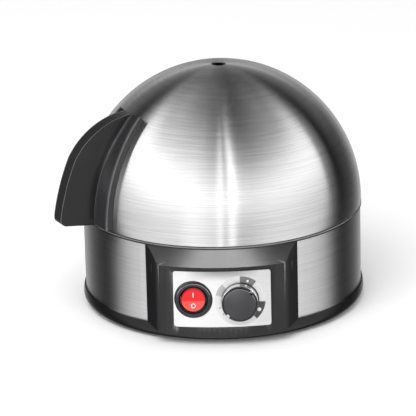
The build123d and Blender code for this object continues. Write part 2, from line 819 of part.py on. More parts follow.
with BuildPart() as clamp_bridge:
    with BuildSketch(Plane.XZ):
        with BuildLine():
            Polyline(
                (0, lower_nut_top),
                (bridge_reach - bridge_ramp, lower_nut_top),
                (bridge_reach, lower_nut_top + bridge_ramp),
                (bridge_reach, seat_bottom),
                (bridge_reach - bridge_thickness, seat_bottom),
                (bridge_reach - bridge_thickness, lower_nut_top + bridge_ramp + bridge_mitre),
                (bridge_reach - bridge_ramp - bridge_mitre, bridge_top),
                (0, bridge_top),
                close=True,
            )
        make_face()
    extrude(amount=bridge_width / 2, both=True)
    mirror(about=Plane.YZ)
    with BuildSketch(Plane.XY.offset(lower_nut_top)):
        Circle(stud_radius + fit_gap)
    extrude(amount=bridge_thickness, mode=Mode.SUBTRACT)
save(clamp_bridge.part, "clamp_bridge")

# Boil-dry cut-out: a round thermostat held against the plate by its clip
with BuildPart() as thermal_cutout:
    with BuildSketch(Plane.XY.offset(clip_top)):
        with Locations((0, cutout_offset)):
            Circle(cutout_radius)
    extrude(amount=spacer_length)
    for blade_y in (cutout_offset + cutout_radius, cutout_offset - cutout_radius):
        with Locations((0, blade_y, clip_top + cutout_blade_rise)):
            Box(*cutout_blade_size)
save(thermal_cutout.part, "thermal_cutout")

clip_length = cutout_offset + 2 * (stud_radius + clip_end_margin)
with BuildPart() as cutout_clip:
    with BuildSketch(Plane.XY.offset(upper_nut_top)):
        with Locations((0, cutout_offset / 2)):
            SlotOverall(clip_length, 2 * (stud_radius + clip_side_margin), rotation=90)
        Circle(stud_radius + fit_gap, mode=Mode.SUBTRACT)
    extrude(amount=clip_thickness)
save(cutout_clip.part, "cutout_clip")

# Thermal fuse: a sleeved capsule under the plate, in a folded clip
fuse_axis_height = bowl_underside - fuse_radius - fit_gap
clip_inner = fuse_radius + fit_gap
clip_outer = clip_inner + fuse_clip_sheet
clip_reach = clip_outer + fuse_clip_foot
with BuildPart() as thermal_fuse:
    with BuildSketch(Plane.XZ.offset(-fuse_length / 2)):
        with Locations((fuse_x, fuse_axis_height)):
            Circle(fuse_radius)
    extrude(amount=fuse_length)
    fillet(thermal_fuse.edges(), fuse_round)
save(thermal_fuse.part, "thermal_fuse")

with BuildPart() as fuse_clip:
    with BuildSketch(Plane.XZ.offset(-fuse_clip_width / 2)):
        with BuildLine():
            Line((fuse_x + clip_inner, bowl_underside), (fuse_x + clip_inner, fuse_axis_height))
            CenterArc((fuse_x, fuse_axis_height), clip_inner, 0, -180)
            Line((fuse_x - clip_inner, fuse_axis_height), (fuse_x - clip_inner, bowl_underside))
            Polyline(
                (fuse_x - clip_inner, bowl_underside),
                (fuse_x - clip_reach, bowl_underside),
                (fuse_x - clip_reach, bowl_underside - fuse_clip_sheet),
                (fuse_x - clip_outer, bowl_underside - fuse_clip_sheet),
                (fuse_x - clip_outer, fuse_axis_height),
            )
            CenterArc((fuse_x, fuse_axis_height), clip_outer, 0, -180)
            Polyline(
                (fuse_x + clip_outer, fuse_axis_height),
                (fuse_x + clip_outer, bowl_underside - fuse_clip_sheet),
                (fuse_x + clip_reach, bowl_underside - fuse_clip_sheet),
                (fuse_x + clip_reach, bowl_underside),
                (fuse_x + clip_inner, bowl_underside),
            )
        make_face()
    extrude(amount=fuse_clip_width)
save(fuse_clip.part, "fuse_clip")

# Panel frame of reference: x to the right, y up the leaning face, z out of it. The face is bent about
# an axis behind it that leans with it
panel = Plane(
    origin=(0, -panel_reach, plate_centre_height),
    x_dir=(1, 0, 0),
    z_dir=(0, -cos(radians(panel_lean)), sin(radians(panel_lean))),
)
bend_axis = Plane(
    origin=panel.from_local_coords(Vector(0, 0, -panel_bend_radius)), x_dir=(1, 0, 0), z_dir=panel.y_dir
)


def panel_sag(x):
    """How far the bent face lies behind its foremost line, at a place across it."""
    return panel_bend_radius - sqrt(panel_bend_radius**2 - x**2)


# Control panel: a moulded cover with angled sides, a bent leaning face, a sloped strip under the top
# ring, a recess for the plate, a round pad for the switch, board posts and snap hooks
side_corner_y = panel_sag(panel_half_width) - panel_bend_radius
side_root_y = side_corner_y + panel_side_width / panel_side_run
side_inner_y = side_root_y + housing_radius / 2
hook_outer = window_half_width - sheet_gap
hook_inner = hook_outer - hook_thickness
hook_root_y = side_root_y + panel_bend_radius - panel_reach - hook_root_sink
hook_catch_y = hook_play - sqrt(housing_inner_radius**2 - hook_outer**2)
hook_nose_y = hook_catch_y + hook_nose
hook_tip_y = hook_nose_y + hook_slope
hook_middle = (band_bottom + seat_bottom) / 2
post_places = ((post_left, post_low), (post_left, post_high), (post_right, post_low), (post_right, post_high))
post_hole_depth = board_screw_length - board_thickness + board_screw_tip_room


def panel_section(inset):
    """The panel cut square to its bend axis: two angled sides and the bent face, moved in by a wall."""
    side_shift = inset * sqrt(1 + panel_side_run**2)
    right_side = [
        (panel_root_half_width - inset, side_inner_y),
        (panel_root_half_width - inset, side_root_y + (side_shift - inset) / panel_side_run),
        (panel_half_width - side_shift - panel_side_width, side_corner_y - panel_side_width / panel_side_run),
    ]
    left_side = [(-x, y) for x, y in reversed(right_side)]
    with BuildSketch(bend_axis) as section:
        with BuildLine():
            Polyline(*right_side, *left_side, close=True)
        make_face()
        Circle(panel_bend_radius - inset, mode=Mode.INTERSECT)
        fillet(section.vertices().sort_by(Axis.Y)[:2], panel_corner_radius - inset)
    return section.sketch


strip_front_y = (
    bend_axis.origin.Y
    + (strip_bottom - bend_axis.origin.Z) * tan(radians(panel_lean))
    - panel_bend_radius / cos(radians(panel_lean))
)
with BuildPart() as strip_cut:
    with Locations((0, 0, strip_bottom + strip_height)):
        Box(2 * beyond, 2 * beyond, 2 * strip_height)
    with BuildSketch(Plane.XY.offset(strip_bottom)):
        with Locations((0, strip_front_y + panel_bend_radius)):
            Circle(panel_bend_radius)
    with BuildSketch(Plane.XY.offset(band_top)):
        Circle(band_outer_radius)
    loft(mode=Mode.SUBTRACT)

with BuildPart() as panel_cavity:
    extrude(panel_section(panel_wall), amount=beyond, both=True)
    with Locations((0, 0, (panel_bottom + strip_bottom) / 2)):
        Box(2 * beyond, 2 * beyond, strip_bottom - panel_bottom - 2 * panel_wall, mode=Mode.INTERSECT)

with BuildPart() as panel_recess:
    with BuildSketch(panel.offset(panel_cut_reach)):
        RectangleRounded(plate_width, plate_height, plate_corner_radius)
        offset(amount=recess_gap)
    extrude(amount=-2 * panel_cut_reach)
    with BuildSketch(bend_axis):
        Circle(panel_bend_radius - plate_thickness - running_gap)
    extrude(amount=beyond, both=True, mode=Mode.SUBTRACT)

with BuildPart() as fascia:
    extrude(panel_section(0), amount=beyond, both=True)
    with Locations((0, 0, (panel_bottom + band_top) / 2)):
        Box(2 * beyond, 2 * beyond, band_top - panel_bottom, mode=Mode.INTERSECT)
    with BuildSketch(Plane.XY.offset(panel_bottom)):
        Circle(housing_radius + fit_gap)
    extrude(amount=band_top - panel_bottom, mode=Mode.SUBTRACT)
    with BuildSketch(Plane.XY.offset(panel_bottom)):
        Circle(skirt_radius + sheet_gap)
    extrude(amount=skirt_top + fit_gap - panel_bottom, mode=Mode.SUBTRACT)
    add(strip_cut.part, mode=Mode.SUBTRACT)
    add(panel_cavity.part, mode=Mode.SUBTRACT)
    add(panel_recess.part, mode=Mode.SUBTRACT)
    with BuildSketch(Plane.XZ):
        with BuildLine():
            Polyline(
                (panel_root_half_width, panel_bottom),
                (panel_root_half_width, panel_bottom + chin_rise),
                (panel_root_half_width - chin_run, panel_bottom),
                close=True,
            )
        make_face()
        mirror(about=Plane.YZ)
    extrude(amount=beyond, mode=Mode.SUBTRACT)
    with BuildSketch(panel.offset(-switch_pad_depth)):
        with Locations(switch_place):
            Circle(bezel_radius)
    extrude(amount=switch_pad_depth - bezel_seat_depth)
    with BuildSketch(panel.offset(-bezel_seat_depth)):
        with Locations(switch_place):
            Circle(bezel_radius + sheet_gap)
    extrude(amount=panel_cut_reach, mode=Mode.SUBTRACT)
    for post_place in post_places:
        with BuildSketch(panel.offset(-board_depth)):
            with Locations(post_place):
                Circle(post_radius)
        extrude(amount=board_depth - panel_sag(abs(post_place[0]) + post_radius) - panel_wall + post_sink)
    for x_side in (1, -1):
        for z_side in (1, -1):
            with BuildSketch(Plane.XY.offset(hook_middle + (z_side * hook_pitch - hook_span) / 2)):
                with BuildLine():
                    Polyline(
                        (x_side * hook_outer, hook_root_y),
                        (x_side * hook_outer, hook_catch_y),
                        (x_side * (hook_outer + hook_catch), hook_nose_y),
                        (x_side * hook_outer, hook_tip_y),
                        (x_side * hook_inner, hook_tip_y),
                        (x_side * hook_inner, hook_root_y),
                        close=True,
                    )
                make_face()
            extrude(amount=hook_span)
    with BuildSketch(panel.offset(panel_cut_reach)):
        with Locations(switch_place):
            Circle(switch_body_radius + fit_gap)
        with Locations(dial_place):
            Circle(spindle_hole_radius)
    extrude(amount=-2 * panel_cut_reach, mode=Mode.SUBTRACT)
    with BuildSketch(panel.offset(-board_depth)):
        with Locations(*post_places):
            Circle(board_screw_radius + running_gap)
    extrude(amount=post_hole_depth, mode=Mode.SUBTRACT)
save(fascia.part, "fascia")

# Panel plate: a thin brushed sheet bent with the face, pierced for the switch and the spindle
with BuildPart() as panel_plate:
    with BuildSketch(panel.offset(panel_cut_reach)):
        RectangleRounded(plate_width, plate_height, plate_corner_radius)
        with Locations(switch_place):
            Circle(bezel_radius + 2 * sheet_gap, mode=Mode.SUBTRACT)
        with Locations(dial_place):
            Circle(spindle_hole_radius, mode=Mode.SUBTRACT)
    extrude(amount=-2 * panel_cut_reach)
    with BuildSketch(bend_axis):
        Circle(panel_bend_radius)
    extrude(amount=beyond, both=True, mode=Mode.INTERSECT)
    with BuildSketch(bend_axis):
        Circle(panel_bend_radius - plate_thickness)
    extrude(amount=beyond, both=True, mode=Mode.SUBTRACT)
save(panel_plate.part, "panel_plate")

# Rocker switch: a round body with a dished bezel, two bearing pads with blind holes for the rocker's
# pins, and three blades
bezel_front = bezel_height - bezel_seat_depth
well_floor = bezel_front - well_depth
pad_inner = rocker_radius + rocker_play
pad_length = bezel_opening_radius + pivot_pad_sink - pad_inner
pad_middle = pad_inner + pad_length / 2
switch_x, switch_y = switch_place
pivot = panel.from_local_coords(Vector(switch_x, switch_y, -pivot_depth))
with BuildPart() as switch_housing:
    with BuildSketch(panel.offset(-bezel_seat_depth)):
        with Locations(switch_place):
            Circle(bezel_radius)
    extrude(amount=bezel_height)
    with BuildSketch(panel.offset(-bezel_seat_depth)):
        with Locations(switch_place):
            Circle(switch_body_radius)
    extrude(amount=-switch_body_depth)
    bezel_edges = switch_housing.edges().filter_by(GeomType.CIRCLE)
    fillet(bezel_edges.filter_by(lambda e: e.radius > switch_body_radius).sort_by(Axis.Y)[0], bezel_round)
    with BuildSketch(panel.offset(bezel_front)):
        with Locations(switch_place):
            Circle(bezel_opening_radius + dish_width)
    extrude(amount=-dish_depth, taper=dish_taper, mode=Mode.SUBTRACT)
    with BuildSketch(panel.offset(bezel_front)):
        with Locations(switch_place):
            Circle(bezel_opening_radius)
    extrude(amount=-well_depth, mode=Mode.SUBTRACT)
    with BuildSketch(panel.offset(well_floor)):
        with Locations((switch_x + pad_middle, switch_y), (switch_x - pad_middle, switch_y)):
            Rectangle(pad_length, pivot_pad_width)
    extrude(amount=pivot_pad_reach - pivot_depth - well_floor)
    with BuildSketch(Plane(origin=pivot, x_dir=(0, 0, 1), z_dir=(1, 0, 0))):
        Circle(rocker_pin_radius + running_gap)
    extrude(amount=switch_body_radius - pin_end_wall, both=True, mode=Mode.SUBTRACT)
save(switch_housing.part, "switch_housing")

with BuildPart() as switch_terminals:
    with BuildSketch(panel.offset(-bezel_seat_depth - switch_body_depth)):
        with Locations(switch_place):
            with GridLocations(0, blade_pitch, 1, blade_count):
                Rectangle(blade_width, blade_thickness)
    extrude(amount=-blade_length)
save(switch_terminals.part, "switch_terminals")

# Rocker: a round button whose face is a shallow V, tilted so that its upper half is pressed in
rocker_lean = radians(panel_lean + rocker_tilt)
rocker_plane = Plane(origin=pivot, x_dir=(1, 0, 0), z_dir=(0, -cos(rocker_lean), sin(rocker_lean)))
rocker_side_plane = Plane(origin=pivot, x_dir=rocker_plane.y_dir, z_dir=(-1, 0, 0))
rocker_crest = rocker_face + rocker_rise
with BuildPart() as switch_rocker:
    with BuildSketch(rocker_plane.offset(-rocker_skirt)):
        Circle(rocker_radius)
    extrude(amount=rocker_crest + rocker_skirt)
    with BuildSketch(rocker_side_plane):
        Polygon(
            (-2 * rocker_radius, rocker_crest + rocker_rise),
            (0, rocker_face),
            (2 * rocker_radius, rocker_crest + rocker_rise),
            align=None,
        )
    extrude(amount=2 * rocker_radius, both=True, mode=Mode.SUBTRACT)
    with BuildSketch(rocker_plane.offset(-rocker_core_depth)):
        Rectangle(rocker_core, rocker_core)
    extrude(amount=rocker_core_depth)
    with BuildSketch(Plane(origin=pivot, x_dir=rocker_plane.y_dir, z_dir=(1, 0, 0))):
        Circle(rocker_pin_radius)
    extrude(amount=switch_body_radius - pin_end_wall - pin_end_play, both=True)
save(switch_rocker.part, "switch_rocker")

# Knob: a moulded cap with a thin skirt, a bright sleeve round it and a bore for the spindle
knob_core_radius = knob_radius - knob_sleeve_wall
sleeve_height = knob_height - knob_skirt_height - sleeve_setback
notch_centre = knob_radius - notch_inset
dial_turned = Location(dial_place, 90 - pointer_angle)
with BuildPart() as knob:
    with BuildSketch(panel.offset(knob_back)):
        with Locations(dial_place):
            Circle(knob_radius + knob_skirt_lip)
    extrude(amount=knob_skirt_height)
    with BuildSketch(panel.offset(knob_back)):
        with Locations(dial_place):
            Circle(knob_core_radius)
    extrude(amount=knob_height)
    fillet(knob.edges().filter_by(GeomType.CIRCLE).sort_by(Axis.Y)[0], knob_round)
    with BuildSketch(panel.offset(knob_back)):
        with Locations(dial_place):
            Circle(spindle_radius + running_gap)
    extrude(amount=spindle_tip - knob_back, mode=Mode.SUBTRACT)
    with BuildSketch(panel.offset(knob_front - notch_depth)):
        with Locations(dial_turned):
            with Locations((notch_centre, 0), (-notch_centre, 0)):
                Rectangle(notch_length, notch_width)
    extrude(amount=knob_height, mode=Mode.SUBTRACT)
save(knob.part, "knob")

with BuildPart() as knob_sleeve:
    with BuildSketch(panel.offset(knob_back + knob_skirt_height)):
        with Locations(dial_place):
            Circle(knob_radius)
            Circle(knob_core_radius, mode=Mode.SUBTRACT)
    extrude(amount=sleeve_height)
    sleeve_edges = knob_sleeve.edges().filter_by(GeomType.CIRCLE)
    fillet(sleeve_edges.filter_by(lambda e: e.radius > knob_core_radius + contact_gap).sort_by(Axis.Y)[0],
           sleeve_round)
    with BuildSketch(panel.offset(knob_front - notch_depth)):
        with Locations(dial_turned):
            with Locations((notch_centre, 0), (-notch_centre, 0)):
                Rectangle(notch_length, notch_width)
    extrude(amount=knob_height, mode=Mode.SUBTRACT)
save(knob_sleeve.part, "knob_sleeve")

# Rotary control: a can on the board with a bush, and the spindle that turns in it with its wiper
wiper_back = can_depth + can_wall + wiper_gap + wiper_thickness
with BuildPart() as rotary_control:
    with BuildSketch(panel.offset(-board_depth)):
        with Locations(dial_place):
            Circle(can_radius)
    extrude(amount=board_depth - can_depth)
    with BuildSketch(panel.offset(-can_depth)):
        with Locations(dial_place):
            Circle(spindle_radius + control_bush_wall)
    extrude(amount=can_depth - control_bush_depth)
    with BuildSketch(panel.offset(can_wall - board_depth)):
        with Locations(dial_place):
            Circle(wiper_radius + can_wall)
    extrude(amount=board_depth - can_depth - 2 * can_wall, mode=Mode.SUBTRACT)
    with BuildSketch(panel.offset(-can_depth - 2 * can_wall)):
        with Locations(dial_place):
            Circle(spindle_radius + running_gap)
    extrude(amount=can_depth, mode=Mode.SUBTRACT)
save(rotary_control.part, "rotary_control")

with BuildPart() as control_spindle:
    with BuildSketch(panel.offset(-wiper_back)):
        with Locations(dial_place):
            Circle(wiper_radius)
    extrude(amount=wiper_thickness)
    with BuildSketch(panel.offset(-wiper_back)):
        with Locations(dial_place):
            Circle(spindle_radius)
    extrude(amount=wiper_back + spindle_tip - running_gap)
save(control_spindle.part, "control_spindle")

# Control board with its relay, capacitor and buzzer, screwed to the panel's posts
board_middle = ((post_left + post_right) / 2, (post_low + post_high) / 2)
board_back = panel.offset(-board_depth - board_thickness)
with BuildPart() as control_board:
    with BuildSketch(board_back):
        with Locations(board_middle):
            Rectangle(board_width, board_height)
        with Locations(*post_places):
            Circle(board_screw_radius + sheet_gap, mode=Mode.SUBTRACT)
    extrude(amount=board_thickness)
save(control_board.part, "control_board")

with BuildPart() as board_screws:
    with BuildSketch(board_back):
        with Locations(*post_places):
            Circle(board_screw_head_radius)
    extrude(amount=-board_screw_head_height)
    with BuildSketch(board_back):
        with Locations(*post_places):
            Circle(board_screw_radius)
    extrude(amount=board_screw_length)
save(board_screws.part, "board_screws")

with BuildPart() as relay:
    with BuildSketch(board_back):
        with Locations(relay_place):
            Rectangle(relay_size[0], relay_size[1])
    extrude(amount=-relay_size[2])
save(relay.part, "relay")

with BuildPart() as capacitor:
    with BuildSketch(board_back):
        with Locations(capacitor_place):
            Rectangle(capacitor_size[0], capacitor_size[1])
    extrude(amount=-capacitor_size[2])
save(capacitor.part, "capacitor")

with BuildPart() as buzzer:
    with BuildSketch(board_back):
        with Locations(buzzer_place):
            Circle(buzzer_radius)
            Circle(buzzer_hole_radius, mode=Mode.SUBTRACT)
    extrude(amount=-buzzer_height)
save(buzzer.part, "buzzer")

# Terminal block: a three-way block on the tray's floor, with wire holes and screw wells
block_width = terminal_ways * terminal_pitch + 2 * terminal_margin
with BuildPart() as terminal_block:
    with Locations((0, terminal_place, floor_top + terminal_height / 2)):
        Box(block_width, terminal_depth, terminal_height)
    with BuildSketch(Plane.XZ.offset(terminal_depth / 2 - terminal_place)):
        with Locations((0, floor_top + wire_hole_height)):
            with GridLocations(terminal_pitch, 0, terminal_ways, 1):
                Circle(wire_hole_radius)
    extrude(amount=-terminal_depth, mode=Mode.SUBTRACT)
    with BuildSketch(Plane.XY.offset(floor_top + terminal_height)):
        with Locations((0, terminal_place)):
            with GridLocations(terminal_pitch, well_hole_pitch, terminal_ways, 2):
                Circle(well_hole_radius)
    extrude(amount=-well_hole_depth, mode=Mode.SUBTRACT)
save(terminal_block.part, "terminal_block")
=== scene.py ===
"""Electric egg cooker: a brushed steel dome over a black moulded base with a control panel."""

import json
from math import atan2, cos, degrees, pi, radians, sin, sqrt

import bmesh
import bpy
from mathutils import Matrix, Vector


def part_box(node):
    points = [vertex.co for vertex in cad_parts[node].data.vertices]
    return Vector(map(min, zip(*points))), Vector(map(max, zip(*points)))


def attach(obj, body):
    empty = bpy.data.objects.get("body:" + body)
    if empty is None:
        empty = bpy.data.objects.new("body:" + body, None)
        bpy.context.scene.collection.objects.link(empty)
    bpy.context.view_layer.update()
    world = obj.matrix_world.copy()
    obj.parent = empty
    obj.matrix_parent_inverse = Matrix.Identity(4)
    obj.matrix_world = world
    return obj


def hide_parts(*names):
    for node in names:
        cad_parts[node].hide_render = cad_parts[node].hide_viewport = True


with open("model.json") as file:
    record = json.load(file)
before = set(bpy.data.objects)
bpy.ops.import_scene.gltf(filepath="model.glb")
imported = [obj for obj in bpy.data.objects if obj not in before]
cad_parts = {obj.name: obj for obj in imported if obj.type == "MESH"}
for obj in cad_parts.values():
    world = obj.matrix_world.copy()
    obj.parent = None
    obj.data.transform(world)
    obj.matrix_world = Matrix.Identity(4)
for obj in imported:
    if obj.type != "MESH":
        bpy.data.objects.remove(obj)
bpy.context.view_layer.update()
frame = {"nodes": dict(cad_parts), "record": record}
mm = 0.001

# The camera: a long lens two metres away, a little above the object, tipped slightly to one side as
# the picture is. Its aim is given in the plane that holds the object's axis.
view_distance = 2.0
view_elevation = radians(18.82)
view_turn = radians(1.0)
view_roll = radians(-1.45)
aim_aside = -8.9 * mm
aim_height = 58.4 * mm
lens_in_frame_widths = 7.471

camera_data = bpy.data.cameras.new("camera")
camera_data.lens = camera_data.sensor_width * lens_in_frame_widths
camera_data.clip_start = 0.1
camera_data.clip_end = 20
camera = bpy.data.objects.new("camera", camera_data)
bpy.context.scene.collection.objects.link(camera)
aim = Vector((aim_aside * cos(view_turn), aim_aside * sin(view_turn), aim_height))
facing = Matrix.Rotation(view_turn, 4, "Z") @ Matrix.Rotation(pi / 2 - view_elevation, 4, "X")
tipped = facing @ Matrix.Rotation(view_roll, 4, "Z")
camera.matrix_world = Matrix.Translation(aim) @ tipped @ Matrix.Translation((0, 0, view_distance))
bpy.context.scene.camera = camera
bpy.context.scene.view_settings.view_transform = "Standard"


# The studio: a white room whose front half is a bright tent. Behind the object's middle the tent ends
# at two black flags, which draw the dark fans in brushed metal. Its roof darkens towards the top and has
# tall bright slits. The table in front shows bright slits low in the steel.
class Shade:
    """One socket of a node tree. Arithmetic on it adds the Math nodes that work it out."""

    def __init__(self, tree, socket=None):
        self.tree = tree
        self.socket = socket

    def node(self, kind, settings=None, inputs=None, output=0):
        """Adds a node: its settings first, then the values or links of its sockets."""
        made = self.tree.nodes.new(kind)
        for name, setting in (settings or {}).items():
            if name == "stops":
                made.color_ramp.elements[0].position, made.color_ramp.elements[0].color = setting[0]
                made.color_ramp.elements[1].position, made.color_ramp.elements[1].color = setting[-1]
                for place, colour in setting[1:-1]:
                    made.color_ramp.elements.new(place).color = colour
            else:
                setattr(made, name, setting)
        for name, given in (inputs or {}).items():
            if isinstance(given, Shade):
                self.tree.links.new(given.socket, made.inputs[name])
            else:
                made.inputs[name].default_value = given
        return Shade(self.tree, made.outputs[output] if made.outputs else None)

    def work(self, operation, *values):
        return self.node("ShaderNodeMath", {"operation": operation}, dict(enumerate(values)))

    def __add__(self, other):
        return self.work("ADD", self, other)

    def __sub__(self, other):
        return self.work("SUBTRACT", self, other)

    def __rsub__(self, other):
        return self.work("SUBTRACT", other, self)

    def __mul__(self, other):
        return self.work("MULTIPLY", self, other)

    def __truediv__(self, other):
        return self.work("DIVIDE", self, other)

    def __gt__(self, other):
        return self.work("GREATER_THAN", self, other)

    def __lt__(self, other):
        return self.work("LESS_THAN", self, other)

    def __abs__(self):
        return self.work("ABSOLUTE", self)

    def parts(self):
        """The three parts of a vector."""
        return [self.node("ShaderNodeSeparateXYZ", inputs={"Vector": self}, output=axis) for axis in "XYZ"]

    __radd__ = __add__
    __rmul__ = __mul__


def grey(level):
    return (level, level, level, 1)


def grey_ramp(value, *stops):
    """A ramp of greys over a value from 0 to 1. A stop is its place on the ramp and its level."""
    greys = [(place, grey(level)) for place, level in stops]
    return value.node("ShaderNodeValToRGB", {"stops": greys}, {"Fac": value})


def between(value, low, high, curve="LINEAR"):
    """0 where the value is at low, 1 where it is at high, and an even or smooth change between them."""
    limits = {"Value": value, "From Min": low, "From Max": high}
    return value.node("ShaderNodeMapRange", {"interpolation_type": curve}, limits)


room = bpy.data.worlds.new("studio")
bpy.context.scene.world = room
room.use_nodes = True
room.node_tree.nodes.clear()
sky = Shade(room.node_tree)
seen_by_camera = sky.node("ShaderNodeLightPath", output="Is Camera Ray")
seen_in_gloss = sky.node("ShaderNodeLightPath", output="Is Glossy Ray")
seen_through = sky.node("ShaderNodeLightPath", output="Is Transmission Ray")
way_x, way_y, way_z = sky.node("ShaderNodeTexCoord", output="Generated").parts()

# The studio stands turned a little to the object. A ray's turn is 0 to the front and its rise is 0 at the
# table's level, both in degrees. Ramps over either run from -90 degrees at 0 to 90 degrees at 1.
studio_turn = radians(2.5)
across = way_x * cos(studio_turn) + way_y * sin(studio_turn)
back = way_y * cos(studio_turn) - way_x * sin(studio_turn)
turn = sky.work("ARCTAN2", across, 0 - back) * degrees(1)
rise = sky.work("ARCSINE", way_z) * degrees(1)
along_turn = (turn + 90) / 180

# From the table's edge up the wall is at its brightest. The roof begins at roof_start in the middle and
# higher towards the sides, where the table's edge lies a little higher too.
roof_start = 9.6
roof_lift = 0.195
edge_lift = 0.03
over_edge = sky.work("MINIMUM", rise - edge_lift * abs(turn), roof_start)
tent_rise = sky.work("MAXIMUM", over_edge, rise - roof_lift * abs(turn))
tent = grey_ramp(
    (tent_rise + 90) / 180,
    (0.0, 0.86), (0.31, 0.68), (0.374, 0.48), (0.53, 0.37), (0.553, 1.0), (0.627, 0.88), (0.65, 0.59),
    (0.684, 0.375), (0.72, 0.355), (0.754, 0.31), (0.80, 0.235), (0.866, 0.145), (0.90, 0.09),
    (0.94, 0.03), (1.0, 0.0),
)

# The flags lean: they begin further back the higher they are.
flag_slope = 0.3
flag_start, flag_reach = -1.1, 2.4
flags = grey_ramp(
    (flag_slope * way_z - back - flag_start) / flag_reach,
    (0.0, 0.23), (0.048, 0.59), (0.077, 0.30), (0.142, 0.08), (0.30, 0.0), (0.40, 0.22), (0.43, 0.79),
    (1.0, 1.0),
)

# The roof's slits stand out more the higher they are. The table, low in front, shows slits of its own.
slits = grey_ramp(
    along_turn,
    (0.0, 0.50), (0.08, 0.54), (0.167, 0.58), (0.23, 0.58), (0.333, 0.60), (0.456, 0.45), (0.472, 0.67),
    (0.489, 0.88), (0.496, 0.80), (0.504, 0.32), (0.517, 0.36), (0.536, 0.90), (0.55, 1.0), (0.561, 1.0),
    (0.572, 0.52), (0.60, 0.37), (0.656, 0.28), (0.72, 0.29), (0.833, 0.33), (0.92, 0.35), (1.0, 0.36),
)
table_slits = grey_ramp(
    along_turn,
    (0.0, 0.66), (0.28, 0.68), (0.35, 0.86), (0.42, 0.72), (0.456, 0.62), (0.468, 0.74), (0.478, 1.0),
    (0.487, 0.92), (0.498, 0.55), (0.507, 0.36), (0.514, 0.55), (0.525, 0.95), (0.54, 1.0), (0.555, 0.54),
    (0.575, 0.41), (0.63, 0.48), (0.70, 0.63), (0.79, 0.70), (1.0, 0.68),
)
slit_level, table_level = 2.14, 1.38
keen_low, keen_high, keenest = 28, 58, 2.3
keen_gain = 0.65
roof_low, roof_high = 15, 35
table_low, table_high = 6.5, 10
keen = 1 + (keenest - 1) * between(rise, keen_low, keen_high)
roof_slits = sky.work("POWER", slits, keen) * (1 - keen_gain + keen_gain * keen)
in_roof = between(rise, roof_low, roof_high)
in_table = between(rise, table_high, table_low)
along = 1 - in_roof - in_table + in_roof * roof_slits * slit_level + in_table * table_slits * table_level

# Straight overhead, leaning a little to the back, the roof is darker still. The patch's edge and its
# full shade are given as cosines of the angle from its middle.
overhead_lean = radians(6)
overhead_edge, overhead_full = 0.91, 0.99
overhead_shade = 0.75
overhead = between(way_z * cos(overhead_lean) + back * sin(overhead_lean), overhead_edge, overhead_full)
tent_level = 2.42
reflected = tent * flags * along * (1 - overhead * overhead_shade) * tent_level

# Where the camera looks, straight or through something, the room is white. On paint and plastic its
# light is soft and even.
room_level = 0.80
backdrop = sky.work("MAXIMUM", seen_by_camera, seen_through)
level = backdrop + (1 - backdrop) * (seen_in_gloss * reflected + (1 - seen_in_gloss) * room_level)
light = sky.node("ShaderNodeBackground", inputs={"Color": grey(1), "Strength": level})
sky.node("ShaderNodeOutputWorld", inputs={"Surface": light})


# Two softboxes. One hangs overhead at the left. The other stands low in front, as wide as the table. It
# is flagged off the steel and lights only the black mouldings, whose edges and sloped faces it picks out.
def softbox(name, width, depth, energy, place):
    """A rectangular lamp that faces the object."""
    lamp_data = bpy.data.lights.new(name, "AREA")
    lamp_data.shape = "RECTANGLE"
    lamp_data.size = width
    lamp_data.size_y = depth
    lamp_data.energy = energy
    lamp = bpy.data.objects.new(name, lamp_data)
    lamp.location = place
    lamp.rotation_euler = (-lamp.location).to_track_quat("-Z", "Y").to_euler()
    bpy.context.scene.collection.objects.link(lamp)
    return lamp


overhead_softbox = softbox("overhead_softbox", width=1.4, depth=1.0, energy=21, place=(-0.5, -1.2, 1.6))
overhead_softbox.visible_glossy = False
front_softbox = softbox("front_softbox", width=2.4, depth=0.24, energy=36, place=(0, -1.1, 0.18))
mouldings = bpy.data.collections.new("black_mouldings")
front_softbox.light_linking.receiver_collection = mouldings


# The floor: a pale matt sheet under the object, which keeps its shadow. It glows a little for the
# camera alone, so that it is as white as the room behind it.
def new_finish(name, **constants):
    """A material with fixed values on its shader. Returns it, the place on its piece and its shader."""
    finish = bpy.data.materials.new(name)
    finish.use_nodes = True
    shader = finish.node_tree.nodes["Principled BSDF"]
    for socket_name, value in constants.items():
        shader.inputs[socket_name.replace("_", " ")].default_value = value
    place = Shade(finish.node_tree).node("ShaderNodeTexCoord", output="Object")
    return finish, place, shader


def feed(shader, **sockets):
    """Links varying values to a shader's sockets."""
    for socket_name, value in sockets.items():
        value.tree.links.new(value.socket, shader.inputs[socket_name.replace("_", " ")])


floor_half = 3.0
floor_shade = 0.97
floor_glow = 0.05
floor_form = bmesh.new()
bmesh.ops.create_grid(floor_form, x_segments=1, y_segments=1, size=floor_half)
floor_mesh = bpy.data.meshes.new("floor")
floor_form.to_mesh(floor_mesh)
floor_form.free()
floor = bpy.data.objects.new("floor", floor_mesh)
bpy.context.scene.collection.objects.link(floor)
floor.visible_glossy = False
floor_paint, floor_place, floor_shader = new_finish(
    "floor_paint", Base_Color=grey(floor_shade), Roughness=0.8, Emission_Strength=1.0
)
glow = floor_place.node("ShaderNodeLightPath", output="Is Camera Ray") * floor_glow
feed(floor_shader, Emission_Color=glow)
floor_mesh.materials.append(floor_paint)


# The bottom tray: one black moulding with the flared ring at the foot of the base, vents, screw
# sleeves and a rim that stands inside the housing, to which four screws hold it.
def noise(place, scale, detail):
    return place.node("ShaderNodeTexNoise", inputs={"Vector": place, "Scale": scale, "Detail": detail})


def bump(height, depth):
    return height.node("ShaderNodeBump", inputs={"Height": height, "Strength": 1.0, "Distance": depth})


